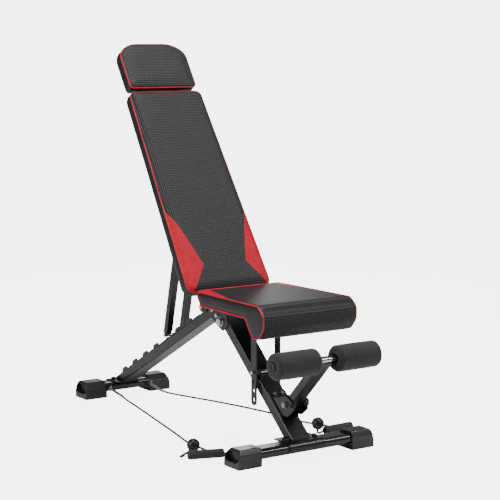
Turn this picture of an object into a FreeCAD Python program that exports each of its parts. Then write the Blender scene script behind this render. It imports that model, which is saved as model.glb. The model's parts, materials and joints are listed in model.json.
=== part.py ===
import FreeCAD, Part
import math
import os

import Sketcher
from FreeCAD import Placement, Rotation, Vector

# Adjustable weight bench.  Millimetres, +Z up, origin on the floor at the
# middle of the outline.  -Y is the foot end with the leg rollers, +Y the end
# with the ladder, X is the width.

doc = FreeCAD.newDocument("AdjustableWeightBench")
sheet = doc.addObject("Spreadsheet::Sheet", "Sizes")

SIZES = {
    "base_tube_depth": 62.0,
    "base_tube_height": 28.0,
    "tube_wall": 2.0,
    "front_base_length": 424.0,
    "rear_base_length": 281.0,
    "foot_length": 74.0,
    "foot_bore_length": 480.0,
    "foot_depth": 70.0,
    "foot_height": 51.5,
    "plug_length": 14.0,
    "front_saddle_width": 117.0,
    "rear_saddle_width": 92.0,
    "saddle_plate": 3.5,
    "front_leg_width": 60.0,
    "front_leg_inner": 56.0,
    "rear_leg_width": 50.0,
    "rear_leg_inner": 46.0,
    "leg_depth": 30.0,
    "ladder_plate": 4.0,
    "ladder_pitch": 72.0,
    "rod_diameter": 9.6,
    "rod_length": 79.0,
    "ear_plate": 3.5,
    "ear_spacer": 5.0,
    "hinge_pin_diameter": 10.0,
    "hinge_pin_hole": 10.1,
    "hinge_pin_length": 79.0,
    "hex_bolt_diameter": 12.0,
    "lock_bolt_diameter": 7.0,
    "seat_board_thickness": 12.0,
    "seat_board_width": 236.0,
    "seat_board_length": 198.0,
    "seat_pad_height": 110.0,
    "seat_pad_width": 310.0,
    "seat_rail_plate": 2.8,
    "seat_strut_plate": 4.0,
    "seat_strut_hole": 10.8,
    "seat_strut_bolt": 8.0,
    "seat_strut_bore": 8.1,
    "seat_pin_diameter": 10.0,
    "seat_pin_length": 106.0,
    "back_pad_thickness": 47.0,
    "back_board_thickness": 10.0,
    "back_rail_plate": 3.8,
    "strut_tube": 19.0,
    "strut_bolt_diameter": 10.0,
    "strut_bolt_hole": 10.1,
    "strut_lug_plate": 3.0,
    "head_bar_width": 24.0,
    "head_bar_plate": 5.0,
    "head_bar_length": 236.0,
    "arm_width": 40.0,
    "arm_depth": 25.0,
    "arm_ear_plate": 4.0,
    "arm_bolt_diameter": 10.0,
    "arm_bolt_hole": 10.1,
    "axle_diameter": 17.0,
    "axle_length": 336.0,
    "roller_length": 138.0,
    "roller_diameter": 72.0,
    "roller_rounding": 12.0,
    "roller_bore": 17.1,
    "knob_diameter": 28.0,
    "knob_thickness": 10.0,
    "knob_hub_diameter": 17.0,
    "rope_diameter": 6.0,
    "ball_diameter": 36.0,
    "grip_diameter": 25.0,
    "grip_length": 100.0,
    "carabiner_wire": 4.0,
    "eye_wire": 4.4,
    "eye_ring": 7.0,
}

for row, (alias, value) in enumerate(SIZES.items(), start=1):
    sheet.set("A%d" % row, alias)
    sheet.set("B%d" % row, str(value))
    sheet.setAlias("B%d" % row, alias)
doc.recompute()


def size(alias):
    """Value of a named size, read back from the sheet."""
    return float(getattr(sheet, alias))


def bind(obj, prop, expression):
    """Bind a property to cells of the sheet; @name stands for a cell."""
    obj.setExpression(prop, expression.replace("@", "Sizes."))


# ---------------------------------------------------------------- helpers

NODES = []


def node(obj, name):
    """Mark an object as a finished piece of the bench."""
    obj.Label = name
    NODES.append((name, obj))
    return obj


def origin_plane(body, role):
    for feature in body.Origin.OriginFeatures:
        if feature.Role == role:
            return feature
    raise RuntimeError("no origin plane " + role)


def corner_arc(before, corner, after, radius):
    """Start, middle and end of the arc that rounds a corner."""
    to_before = (before - corner).normalize()
    to_after = (after - corner).normalize()
    angle = to_before.getAngle(to_after)
    reach = radius / math.tan(angle / 2)
    bisector = (to_before + to_after).normalize()
    centre = corner + bisector * (radius / math.sin(angle / 2))
    return corner + to_before * reach, centre - bisector * radius, corner + to_after * reach


def outline_edges(points):
    """Closed outline of straight edges; a third number rounds that corner."""
    corners = [Vector(p[0], p[1], 0) for p in points]
    radii = [p[2] if len(p) > 2 else 0 for p in points]
    count = len(corners)
    entry = []
    leave = []
    edges = []
    for i in range(count):
        if radii[i]:
            first, middle, last = corner_arc(corners[i - 1], corners[i], corners[(i + 1) % count], radii[i])
            edges.append(Part.Arc(first, middle, last))
            entry.append(first)
            leave.append(last)
        else:
            entry.append(corners[i])
            leave.append(corners[i])
    for i in range(count):
        start = leave[i]
        end = entry[(i + 1) % count]
        if start.distanceToPoint(end) > 1e-4:
            edges.append(Part.LineSegment(start, end))
    return edges


def prism(name, role, outline, length, holes=(), at=(0, 0, 0), turn=None):
    """Body: an outline on an origin plane, padded both ways by a named size.

    holes are (a, b, alias of the diameter)."""
    body = doc.addObject("PartDesign::Body", name)
    sketch = body.newObject("Sketcher::SketchObject", name + "_outline")
    sketch.AttachmentSupport = [(origin_plane(body, role), "")]
    sketch.MapMode = "FlatFace"
    for edge in outline_edges(outline):
        sketch.addGeometry(edge, False)
    for a, b, alias in holes:
        circle = sketch.addGeometry(Part.Circle(Vector(a, b, 0), Vector(0, 0, 1), size(alias) / 2), False)
        rule = sketch.addConstraint(Sketcher.Constraint("Diameter", circle, size(alias)))
        bind(sketch, "Constraints[%d]" % rule, "@" + alias)
    pad = body.newObject("PartDesign::Pad", name + "_pad")
    pad.Profile = sketch
    pad.SideType = "Symmetric"
    bind(pad, "Length", "@" + length)
    body.Placement = Placement(Vector(*at), turn or Rotation())
    return body


def pin(name, diameter, length, centre, axis="X"):
    """Cylinder centred on a point, along an axis."""
    cylinder = doc.addObject("Part::Cylinder", name)
    bind(cylinder, "Radius", diameter + " / 2")
    bind(cylinder, "Height", length)
    turns = {"X": Rotation(Vector(0, 1, 0), 90), "Y": Rotation(Vector(1, 0, 0), -90), "Z": Rotation()}
    turn = turns[axis] if isinstance(axis, str) else axis
    doc.recompute()
    half = turn.multVec(Vector(0, 0, float(cylinder.Height) / 2))
    cylinder.Placement = Placement(Vector(*centre) - half, turn)
    return cylinder


def block(name, length, width, height, centre, turn=None):
    """Box centred on a point."""
    box = doc.addObject("Part::Box", name)
    bind(box, "Length", length)
    bind(box, "Width", width)
    bind(box, "Height", height)
    doc.recompute()
    turn = turn or Rotation()
    half = Vector(float(box.Length) / 2, float(box.Width) / 2, float(box.Height) / 2)
    box.Placement = Placement(Vector(*centre) - turn.multVec(half), turn)
    return box


def join(name, shapes):
    fusion = doc.addObject("Part::MultiFuse", name)
    fusion.Shapes = shapes
    return fusion


def cut(name, base, tool):
    result = doc.addObject("Part::Cut", name)
    result.Base = base
    result.Tool = tool
    return result


def common(name, base, tool):
    result = doc.addObject("Part::Common", name)
    result.Base = base
    result.Tool = tool
    return result


def rounded(name, base, radius, pick):
    """Fillet of the edges for which pick(edge) is true."""
    doc.recompute()
    fillet = doc.addObject("Part::Fillet", name)
    fillet.Base = base
    fillet.Edges = [(i, radius, radius) for i, e in enumerate(base.Shape.Edges, 1) if pick(e)]
    return fillet


def along(direction):
    """Edge test: straight and parallel to a direction."""
    unit = Vector(*direction).normalize()

    def test(edge):
        if len(edge.Vertexes) != 2 or edge.Curve.TypeId != "Part::GeomLine":
            return False
        run = (edge.Vertexes[1].Point - edge.Vertexes[0].Point).normalize()
        return abs(run.dot(unit)) > 0.9999
    return test


def hexagon(across_flats, a, b):
    """Hexagon outline about a point."""
    r = across_flats / math.sqrt(3)
    turns = [math.radians(60 * k) for k in range(6)]
    return [(a + r * math.cos(turn), b + r * math.sin(turn)) for turn in turns]


def pair(name, make):
    """The same piece on both sides: make(side) builds one of them."""
    return join(name, [make(-1, name + "_l"), make(1, name + "_r")])


# ------------------------------------------------------------ base and feet

FRONT_Y = -421.0
REAR_Y = 529.0
TUBE_Z = 30.0
TUBE_TOP = TUBE_Z + size("base_tube_height") / 2


def oval(a, b, depth, height):
    """Flat oval: flat top and bottom, round front and rear."""
    r = height / 2 - 0.1
    return [(a - depth / 2, b - height / 2, r), (a + depth / 2, b - height / 2, r),
            (a + depth / 2, b + height / 2, r), (a - depth / 2, b + height / 2, r)]


def foot_profile(y, outward):
    """Side view of a foot; outward is -1 when its upright face looks to -Y."""
    half = size("foot_depth") / 2
    top = size("foot_height")
    pts = [(-half, 0, 2), (-half, 38, 6), (-half + 8, top, 5),
           (half - 19, top, 5), (half - 1, 34, 5), (half, 0, 2)]
    return [(y - outward * a, b, r) for a, b, r in pts]


def foot(name, x, y, outward, slug):
    side = 1 if x > 0 else -1
    top = size("foot_height")
    half = size("foot_length") / 2
    profile = prism(name + "_side", "YZ_Plane", foot_profile(y, outward), "foot_length", at=(x, 0, 0))
    front = [(x - side * half, 0, 1.5), (x + side * half, 0, 2), (x + side * half, 21, 8),
             (x + side * (half - 8), top, 7), (x - side * half, top, 1.5)]
    face = prism(name + "_front", "XZ_Plane", front, "foot_depth", at=(0, y, 0))
    return node(cut(name, common(name + "_block", profile, face), slug), name)


def base(name, y, length, outward, foot_names, foot_x, drills):
    depth = size("base_tube_depth")
    height = size("base_tube_height")
    wall = size("tube_wall")
    slug = prism(name + "_slug", "YZ_Plane", oval(y, TUBE_Z, depth, height), length)
    core = prism(name + "_core", "YZ_Plane", oval(y, TUBE_Z, depth - 2 * wall, height - 2 * wall), length)
    tube = cut(name + "_open", slug, core)
    node(cut(name, tube, drills) if drills else tube, name)
    bore = prism(name + "_bore", "YZ_Plane", oval(y, TUBE_Z, depth, height), "foot_bore_length")
    for foot_name, side in zip(foot_names, (-1, 1)):
        foot(foot_name, side * foot_x, y, outward, bore)
    return slug


EYE_X = 72.0
EYE_Z = 31.0
eye_shanks = []
for side in (-1, 1):
    shank = doc.addObject("Part::Cylinder", "eye_shank")
    bind(shank, "Radius", "@eye_wire / 2")
    shank.Height = 16
    shank.Placement = Placement(Vector(side * EYE_X, 490, EYE_Z), Rotation(Vector(1, 0, 0), -90))
    eye_shanks.append(shank)
shank_pair = join("eye_shanks", eye_shanks)

front_slug = base("front_base_tube", FRONT_Y, "front_base_length", -1,
                  ("front_foot_left", "front_foot_right"), 187.0, None)
rear_slug = base("rear_base_tube", REAR_Y, "rear_base_length", 1,
                 ("rear_foot_left", "rear_foot_right"), 115.5, shank_pair)

plugs = []
for y, tube_end in ((FRONT_Y, size("front_base_length") / 2), (REAR_Y, size("rear_base_length") / 2)):
    inner = [size(cell) - 2 * size("tube_wall") for cell in ("base_tube_depth", "base_tube_height")]
    for side in (-1, 1):
        plugs.append(prism("end_plug", "YZ_Plane", oval(y, TUBE_Z, *inner), "plug_length",
                           at=(side * (tube_end - 9), 0, 0)))
node(join("base_end_plugs", plugs), "base_end_plugs")

# Saddles: bent plates on the base tubes that the two legs stand on.
SADDLE_TOP = TUBE_TOP + size("saddle_plate")


def saddle(name, y, outward, width, slug):
    nose = outward * (size("base_tube_depth") / 2 + size("saddle_plate"))
    outline = [(y - outward * 43, TUBE_TOP), (y - outward * 43, SADDLE_TOP), (y + nose, SADDLE_TOP, 17),
               (y + nose, 26), (y + nose * 0.6, 26), (y + nose * 0.6, TUBE_TOP - 1), (y, TUBE_TOP - 1),
               (y, TUBE_TOP)]
    return node(cut(name, prism(name + "_plate", "YZ_Plane", outline, width), slug), name)


saddle("front_saddle", FRONT_Y, -1, "front_saddle_width", front_slug)
saddle("rear_saddle", REAR_Y, 1, "rear_saddle_width", rear_slug)


def hex_head(name, across, height, centre, direction):
    """Hexagon head or nut standing on a point, along a direction, with a washer under it."""
    washer = Part.makeCylinder(across * 0.62, 1.2)
    corners = [Vector(a, b, 1.2) for a, b in hexagon(across, 0, 0)]
    head = Part.Face(Part.makePolygon(corners + corners[:1]))
    head = head.extrude(Vector(0, 0, height))
    slope = height * 1.9
    cone = Part.makeCone(across * 0.5 + slope, across * 0.5, slope, Vector(0, 0, 1.2 + height - slope))
    shape = washer.fuse(head.common(cone)).removeSplitter()
    feature = doc.addObject("Part::Feature", name)
    feature.Shape = shape
    feature.Placement = Placement(Vector(*centre), Rotation(Vector(0, 0, 1), Vector(*direction)))
    return feature


base_bolts = []
for x in (-46, 46):
    base_bolts.append(hex_head("base_bolt", 13, 6, (x, FRONT_Y, SADDLE_TOP), (0, 0, 1)))
    base_bolts.append(hex_head("base_bolt", 13, 6, (x * 0.78, REAR_Y, SADDLE_TOP), (0, 0, 1)))
node(join("base_bolts", base_bolts), "base_bolts")

# ------------------------------------------------------------------- legs

# Front leg: centre line through FRONT_APEX, 41.4 degrees above the floor.
FRONT_TILT = math.radians(41.4)
FRONT_APEX = (-84.8, 330.0)
REAR_TILT = math.radians(28.72)
REAR_POINT = (216.0, 210.5)


def on_line(point, tilt, run, lift):
    """Point at a distance along a line in the YZ plane and above it."""
    y = point[0] + run * math.cos(tilt) - lift * math.sin(tilt)
    z = point[1] + run * math.sin(tilt) + lift * math.cos(tilt)
    return y, z


def at_height(point, tilt, lift, z):
    """Run along the line at which the offset line reaches a height."""
    return (z - point[1] - lift * math.cos(tilt)) / math.sin(tilt)


def front_leg_outline(half, past):
    low_front = at_height(FRONT_APEX, FRONT_TILT, half, SADDLE_TOP - past)
    low_rear = at_height(FRONT_APEX, FRONT_TILT, -half, SADDLE_TOP - past)
    spots = [(low_front, half), (low_rear, -half), (26 + past, -half), (26 + past, half)]
    return [on_line(FRONT_APEX, FRONT_TILT, *spot) for spot in spots]


def rear_leg_outline(half, past):
    """Rear leg falls toward +Y, so its line is walked with a negative tilt."""
    tilt = -REAR_TILT
    low = [on_line(REAR_POINT, tilt, at_height(REAR_POINT, tilt, -half, SADDLE_TOP - past), -half)]
    bottom_end = 540.0 + past
    top_run = (bottom_end - REAR_POINT[0] + half * math.sin(tilt)) / math.cos(tilt)
    head_run = (-34.0 - past - REAR_POINT[0]) / math.cos(tilt)
    slant = half * math.tan(tilt)
    upper_low = on_line(REAR_POINT, tilt, head_run - slant, -half)
    upper_top = on_line(REAR_POINT, tilt, head_run + slant, half)
    rear_top = on_line(REAR_POINT, tilt, top_run, half)
    return [upper_low] + low + [(bottom_end, SADDLE_TOP - past), rear_top, upper_top]


LEG_HALF = size("leg_depth") / 2
WALL = size("tube_wall")
HEX_BOLT = (-84.0, 319.0)
LOCK_BOLT = (-65.5, 335.5)
BACK_HINGE = (-46.0, 348.5)
SEAT_HINGE = (11.0, 348.0)

leg_outer = rounded("front_leg_round",
                    prism("front_leg_solid", "YZ_Plane", front_leg_outline(LEG_HALF, 0), "front_leg_width"),
                    3.5, along((0, math.cos(FRONT_TILT), math.sin(FRONT_TILT))))
leg_core = prism("front_leg_core", "YZ_Plane", front_leg_outline(LEG_HALF - WALL, 30), "front_leg_inner")
bolt_holes = [pin("hex_bolt_hole", "@hex_bolt_diameter", "@front_leg_width", (0,) + HEX_BOLT),
              pin("lock_bolt_hole", "@lock_bolt_diameter", "@front_leg_width", (0,) + LOCK_BOLT)]
node(cut("front_leg", leg_outer, join("front_leg_hollow", [leg_core] + bolt_holes)), "front_leg")

leg_outer = rounded("rear_leg_round",
                    prism("rear_leg_solid", "YZ_Plane", rear_leg_outline(LEG_HALF, 0), "rear_leg_width"),
                    4.0, along((0, math.cos(REAR_TILT), -math.sin(REAR_TILT))))
leg_core = prism("rear_leg_core", "YZ_Plane", rear_leg_outline(LEG_HALF - WALL, 30), "rear_leg_inner")
node(cut("rear_leg", leg_outer, leg_core), "rear_leg")

# Ladder: toothed plates on the rear leg.  The rod rests at s = 0 of the notch
# in use; s runs down the leg, lift is measured square to it.
ROD = (213.5, 236.5)
ROD_LIFT = 4.3
NOTCHES = range(-2, 5)


def ladder_point(s, lift):
    """Point at s past the rod's rest and a lift above the ladder's edge line."""
    return on_line(ROD, -REAR_TILT, s, lift - ROD_LIFT)


EDGE_LIFT = ROD_LIFT - 21.6 + LEG_HALF
ladder = [ladder_point(-190, EDGE_LIFT), ladder_point(-190, -1), ladder_point(-186, 0)]
for k in NOTCHES:
    s = k * size("ladder_pitch")
    ladder += [ladder_point(s - 6.5, 0) + (3,), ladder_point(s - 0.8, -1.35) + (3,)]
    if k == 0:
        # The rod leaves this notch along its low rear side.
        ladder += [ladder_point(s + 20.3, 3.6) + (1.5,), ladder_point(s + 25.5, 0) + (2,)]
    else:
        ladder += [ladder_point(s + 3.2, -1.35) + (2,), ladder_point(s + 9, 8.6) + (5,),
                   ladder_point(s + 31, 9.4) + (8,), ladder_point(s + 40, 0) + (2,)]
ladder += [ladder_point(326, 0), ladder_point(329, -1), ladder_point(329, EDGE_LIFT)]
ladder_x = size("rear_leg_width") / 2 - 4 - size("ladder_plate") / 2
node(pair("ladder_plates", lambda side, name: prism(name, "YZ_Plane", ladder, "ladder_plate",
                                                    at=(side * (ladder_x), 0, 0))), "ladder_plates")

# Ear plates at the apex: they carry both hinges and clamp the front leg.
EAR_IN = size("front_leg_width") / 2
ear_outline = [(-93.5, 294, 12), (-58, 311.5, 6), (-37, 325, 6), (-22, 322, 4), (24, 336.5, 7), (30, 350, 7),
               (20, 361, 6), (-84, 361, 10), (-112, 342, 10), (-123, 316, 9)]
ear_holes = (HEX_BOLT + ("hex_bolt_diameter",), LOCK_BOLT + ("lock_bolt_diameter",),
             BACK_HINGE + ("hinge_pin_hole",), SEAT_HINGE + ("hinge_pin_hole",))
ear_x = EAR_IN + size("ear_plate") / 2
node(pair("apex_ears", lambda side, name: prism(name, "YZ_Plane", ear_outline, "ear_plate", ear_holes,
                                                at=(side * ear_x, 0, 0))), "apex_ears")
spacer_corners = ((-13, -4), (13, -4), (13, 4), (-13, 4))
spacer_outline = [on_line((-6, 333.2), -REAR_TILT, a, b) + (2,) for a, b in spacer_corners]
spacer_x = size("rear_leg_width") / 2 + size("ear_spacer") / 2
node(pair("apex_spacers", lambda side, name: prism(name, "YZ_Plane", spacer_outline, "ear_spacer",
                                                   at=(side * spacer_x, 0, 0))), "apex_spacers")

# Hexagon bolts through the ears and the front leg.
EAR_OUT = EAR_IN + size("ear_plate")


def simple_bolt(name, point, alias, across, height, reach):
    """Shank centred on X = 0 over a reach with hexagon ends."""
    rod = doc.addObject("Part::Cylinder", name + "_shank")
    bind(rod, "Radius", "@%s / 2" % alias)
    rod.Height = 2 * reach
    rod.Placement = Placement(Vector(-reach, *point), Rotation(Vector(0, 1, 0), 90))
    left = hex_head(name + "_head", across, height, (-reach, *point), (-1, 0, 0))
    right = hex_head(name + "_nut", across, height, (reach, *point), (1, 0, 0))
    return join(name, [rod, left, right])


hex_bolt = simple_bolt("apex_hex_bolt", HEX_BOLT, "hex_bolt_diameter", 21, 8, EAR_OUT)
lock_bolt = simple_bolt("apex_lock_bolt", LOCK_BOLT, "lock_bolt_diameter", 10, 4, EAR_OUT)
node(join("apex_bolts", [hex_bolt, lock_bolt]), "apex_bolts")

# ------------------------------------------------------------- seat support

SEAT_PIN = (-258.5, 204.4)
SEAT_PIVOT = (-258.5, 360.0)


def on_leg(run_from_pin, lift):
    """Point beside the front leg: lift above its front face, run from the pin."""
    tilt = FRONT_TILT
    foot_run = (SEAT_PIN[0] - FRONT_APEX[0]) * math.cos(tilt) + (SEAT_PIN[1] - FRONT_APEX[1]) * math.sin(tilt)
    return on_line(FRONT_APEX, tilt, foot_run + run_from_pin, LEG_HALF + lift)


slot = size("seat_pin_diameter") / 2 + 0.5
# Hook: a lug on the leg's front face with a slot that is open upward for the pin.
hook = [on_leg(-26, 0), on_leg(-20, 9) + (4,), (SEAT_PIN[0] - slot - 6, SEAT_PIN[1] + 2, 3),
        (SEAT_PIN[0] - slot - 5, SEAT_PIN[1] + 12, 2.4), (SEAT_PIN[0] - slot, SEAT_PIN[1] + 12, 2.4),
        (SEAT_PIN[0] - slot, SEAT_PIN[1] - slot, slot - 0.05),
        (SEAT_PIN[0] + slot, SEAT_PIN[1] - slot, slot - 0.05)]
face_run = 8.0
hook += [(SEAT_PIN[0] + slot, on_leg(face_run, 0)[1] + 2), on_leg(face_run + 6, 0)]
HOOK_X = 25.0
node(pair("seat_pin_hook", lambda side, name: prism(name, "YZ_Plane", hook, "arm_ear_plate",
                                                    at=(side * HOOK_X, 0, 0))), "seat_pin_hook")

# ------------------------------------------------------------------- seat

seat_profile = [(-120, 427, 9), (-146, 394, 6), (-161, 385, 3), (-376, 385, 12), (-412, 334, 16),
                (-440, 336, 14), (-466, 366, 20), (-466, 404, 20), (-440, 427, 22)]
seat_side = prism("seat_side", "YZ_Plane", seat_profile, "seat_pad_width")
seat_plan = prism("seat_plan", "XY_Plane",
                  [(-140, -115, 14), (-152, -470, 22), (152, -470, 22), (140, -115, 14)], "seat_pad_height",
                  at=(0, 0, 380))
node(common("seat_pad", seat_side, seat_plan), "seat_pad")

seat_board = block("seat_board_block", "@seat_board_width", "@seat_board_length", "@seat_board_thickness",
                   (0, -268.5, 385 - size("seat_board_thickness") / 2))
node(rounded("seat_board", seat_board, 14.0, along((0, 0, 1))), "seat_board")

BOARD_UNDER = 385 - size("seat_board_thickness")
rail_outline = [(-305, BOARD_UNDER), (-305, 362, 5), (-276, 347, 8), (-92, 345, 6), (-64, 356.5, 8),
                (-28, 356.5, 10), (-8, 337, 8), (14, 335, 10), (25, 345, 9), (20, 361, 8),
                (-60, 366, 10), (-130, 369, 10), (-168, BOARD_UNDER)]
rail_x = 35.6
rail_holes = (SEAT_HINGE + ("hinge_pin_diameter",), SEAT_PIVOT + ("seat_strut_bolt",))
node(pair("seat_rails", lambda side, name: prism(name, "YZ_Plane", rail_outline, "seat_rail_plate", rail_holes,
                                                 at=(side * rail_x, 0, 0))), "seat_rails")
node(pin("seat_hinge_pin", "@hinge_pin_diameter", "@hinge_pin_length", (0,) + SEAT_HINGE), "seat_hinge_pin")

screws = []
for x, y in ((-80, -200), (80, -200), (-80, -340), (80, -340)):
    screws.append(hex_head("seat_screw", 10, 4, (x, y, BOARD_UNDER), (0, 0, -1)))
node(join("seat_screws", screws), "seat_screws")

STRUT_X = 39.5
node(simple_bolt("seat_strut_pivot", SEAT_PIVOT, "seat_strut_bolt", 12, 4, 42.0), "seat_strut_pivot")

strut_top = SEAT_PIVOT[1] + 11.5
strut_outline = [(SEAT_PIVOT[0] - 11.5, strut_top, 11.4), (SEAT_PIVOT[0] + 11.5, strut_top, 11.4),
                 (SEAT_PIVOT[0] + 11.5, 113, 11.4), (SEAT_PIVOT[0] - 11.5, 113, 11.4)]
STRUT_HOLES = [SEAT_PIN[1] - 25 * k for k in range(4)]
strut_holes = [(SEAT_PIVOT[0], z, "seat_strut_hole") for z in STRUT_HOLES]
strut_holes.append(SEAT_PIVOT + ("seat_strut_bore",))
node(pair("seat_struts", lambda side, name: prism(name, "YZ_Plane", strut_outline, "seat_strut_plate",
                                                  strut_holes, at=(side * STRUT_X, 0, 0))), "seat_struts")

# Pull pin through the struts, held by the hook; its handle is on the +X side.
node(pin("seat_pin", "@seat_pin_diameter", "@seat_pin_length", (4, SEAT_PIN[0], SEAT_PIN[1])), "seat_pin")
handle_stem = prism("seat_pin_stem", "YZ_Plane", [(SEAT_PIN[0] - 9, SEAT_PIN[1] - 9, 8.9),
                                                  (SEAT_PIN[0] + 9, SEAT_PIN[1] - 9, 8.9),
                                                  (SEAT_PIN[0] + 9, SEAT_PIN[1] + 9, 8.9),
                                                  (SEAT_PIN[0] - 9, SEAT_PIN[1] + 9, 8.9)], "plug_length",
                    at=(64, 0, 0))
handle_bar = prism("seat_pin_bar", "YZ_Plane", [(SEAT_PIN[0] - 11, SEAT_PIN[1] - 27, 10.9),
                                                (SEAT_PIN[0] + 11, SEAT_PIN[1] - 27, 10.9),
                                                (SEAT_PIN[0] + 11, SEAT_PIN[1] + 27, 10.9),
                                                (SEAT_PIN[0] - 11, SEAT_PIN[1] + 27, 10.9)], "plug_length",
                   at=(78, 0, 0))
node(join("seat_pin_handle", [handle_stem, handle_bar]), "seat_pin_handle")

# ----------------------------------------------------------------- backrest

# Backrest frame: x across, y up along the pad, z out of its front face.
LEAN = 57.5
BACK_TURN = Rotation(Vector(1, 0, 0), LEAN)
BACK_AT = Vector(0, -98.4, 392.0)
BACK = Placement(BACK_AT, BACK_TURN)


def in_back(point):
    """A point of the YZ plane in the backrest frame: (up, front)."""
    local = BACK.inverse().multVec(Vector(0, point[0], point[1]))
    return local.y, local.z


def back_prism(name, outline, length, middle, holes=()):
    """Prism of a plan outline (across, up), centred at a front offset."""
    return prism(name, "XY_Plane", outline, length, holes,
                 at=BACK.multVec(Vector(0, 0, middle)), turn=BACK_TURN)


def side_prism(name, outline, length, x, holes=()):
    """Prism of a side outline (up, front), centred at x."""
    return prism(name, "YZ_Plane", outline, length, holes, at=BACK.multVec(Vector(x, 0, 0)), turn=BACK_TURN)


PAD_BACK = -36.0
PAD_MID = PAD_BACK + size("back_pad_thickness") / 2
BOARD_MID = -32.0
BOARD_BACK = BOARD_MID - size("back_board_thickness") / 2


def cushion(name, outline, radius, board):
    """Pad with rounded front edges, let in over its board."""
    slab = back_prism(name + "_slab", outline, "back_pad_thickness", PAD_MID)
    normal = BACK_TURN.multVec(Vector(0, 0, 1))
    front = BACK.multVec(Vector(0, 0, PAD_BACK + size("back_pad_thickness")))

    def on_front(edge):
        return all(abs((v.Point - front).dot(normal)) < 0.01 for v in edge.Vertexes)

    return node(cut(name, rounded(name + "_round", slab, radius, on_front), board), name)


def board_outline(low, high, half_low, half_high, radius):
    return [(-half_low, low, radius), (half_low, low, radius),
            (half_high, high, radius), (-half_high, high, radius)]


back_slab = back_prism("back_board", board_outline(38, 658, 125, 108, 18), "back_board_thickness", BOARD_MID)
back_board = node(back_slab, "back_board")
cushion("back_pad", board_outline(25, 673.5, 141, 122.6, 22), 10.5, back_board)
head_slab = back_prism("head_board", board_outline(697, 814, 100, 94, 34), "back_board_thickness", BOARD_MID)
head_board = node(head_slab, "head_board")
# The headrest's top edge is arched.
head_outline = [(-114, 685.5, 14), (114, 685.5, 14), (113.5, 808, 41),
                (72, 836.5, 86), (-72, 836.5, 86), (-113.5, 808, 41)]
cushion("head_pad", head_outline, 10.5, head_board)

hinge_up, hinge_front = in_back(BACK_HINGE)
back_rail = [(hinge_up - 9, hinge_front + 9, 8.9), (hinge_up - 9, hinge_front - 9, 8.9),
             (70, BOARD_BACK - 20, 12), (252, BOARD_BACK - 20, 10), (262, BOARD_BACK), (44, BOARD_BACK)]
back_rail_x = 27.5
node(pair("back_rails", lambda side, name: side_prism(name, back_rail, "back_rail_plate", side * back_rail_x,
                                                      ((hinge_up, hinge_front, "hinge_pin_diameter"),))),
     "back_rails")
node(pin("back_hinge_pin", "@hinge_pin_diameter", "@hinge_pin_length", (0,) + BACK_HINGE), "back_hinge_pin")

# Lugs on the board for the support strut, with their pivot bolt.
PIVOT = (119.5, 632.0)
pivot_up, pivot_front = in_back(PIVOT)
lug = [(pivot_up - 26, BOARD_BACK), (pivot_up - 11, pivot_front - 3, 8), (pivot_up - 4, pivot_front - 11, 8),
       (pivot_up + 4, pivot_front - 11, 8), (pivot_up + 11, pivot_front - 3, 8), (pivot_up + 26, BOARD_BACK)]
lug_x = 39.6
node(pair("strut_lugs", lambda side, name: side_prism(name, lug, "strut_lug_plate", side * lug_x,
                                                      ((pivot_up, pivot_front, "strut_bolt_diameter"),))),
     "strut_lugs")
lug_out = lug_x + size("strut_lug_plate") / 2
node(simple_bolt("strut_pivot_bolt", PIVOT, "strut_bolt_diameter", 14, 5, lug_out), "strut_pivot_bolt")

bars = []
for side in (-1, 1):
    bar = block("head_bar", "@head_bar_width", "@head_bar_length", "@head_bar_plate",
                BACK.multVec(Vector(side * 62, 690, BOARD_BACK - size("head_bar_plate") / 2)), BACK_TURN)
    bars.append(bar)
node(join("headrest_bars", bars), "headrest_bars")

screws = []
back_dir = BACK_TURN.multVec(Vector(0, 0, -1))
bar_face = BOARD_BACK - size("head_bar_plate")
for side in (-1, 1):
    for up, depth in ((590, bar_face), (640, bar_face), (730, bar_face), (790, bar_face)):
        spot = BACK.multVec(Vector(side * 62, up, depth))
        screws.append(hex_head("back_screw", 10, 4, spot, back_dir))
    for up in (110, 220, 420):
        spot = BACK.multVec(Vector(side * 80, up, BOARD_BACK))
        screws.append(hex_head("back_screw", 10, 4, spot, back_dir))
node(join("back_screws", screws), "back_screws")

# ------------------------------------------------------------ support strut

strut_run = math.hypot(PIVOT[0] - ROD[0], PIVOT[1] - ROD[1])
strut_turn = Rotation(Vector(1, 0, 0), math.degrees(math.atan2(PIVOT[1] - ROD[1], PIVOT[0] - ROD[0])))
# Strut frame: y from the rod up to the pivot, z toward the front.
half = size("strut_tube") / 2
leg_side = [(3.5, 4), (20, half, 3), (strut_run + half, half, half - 0.1),
            (strut_run + half, -half, half - 0.1), (9, -half, 2), (3.5, -5)]
rod_piece = pin("ladder_rod", "@rod_diameter", "@rod_length", (0,) + ROD)
node(rod_piece, "ladder_rod")


def strut_leg(side, name):
    return prism(name, "YZ_Plane", leg_side, "strut_tube", ((strut_run, 0, "strut_bolt_hole"),),
                 at=(side * 27.5, ROD[0], ROD[1]), turn=strut_turn)


node(cut("support_legs", pair("support_legs_whole", strut_leg), rod_piece), "support_legs")

# --------------------------------------------------------------- roller arm

ARM_PIVOT = (-384.0, 136.0)
AXLE = (-528.0, 279.6)

# Bracket: a plate on the front leg's face with two ears for the arm.


def leg_face(z, lift):
    """Point on the front leg's front face at a height, lifted off it."""
    run = at_height(FRONT_APEX, FRONT_TILT, LEG_HALF, z)
    return on_line(FRONT_APEX, FRONT_TILT, run, LEG_HALF + lift)


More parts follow.
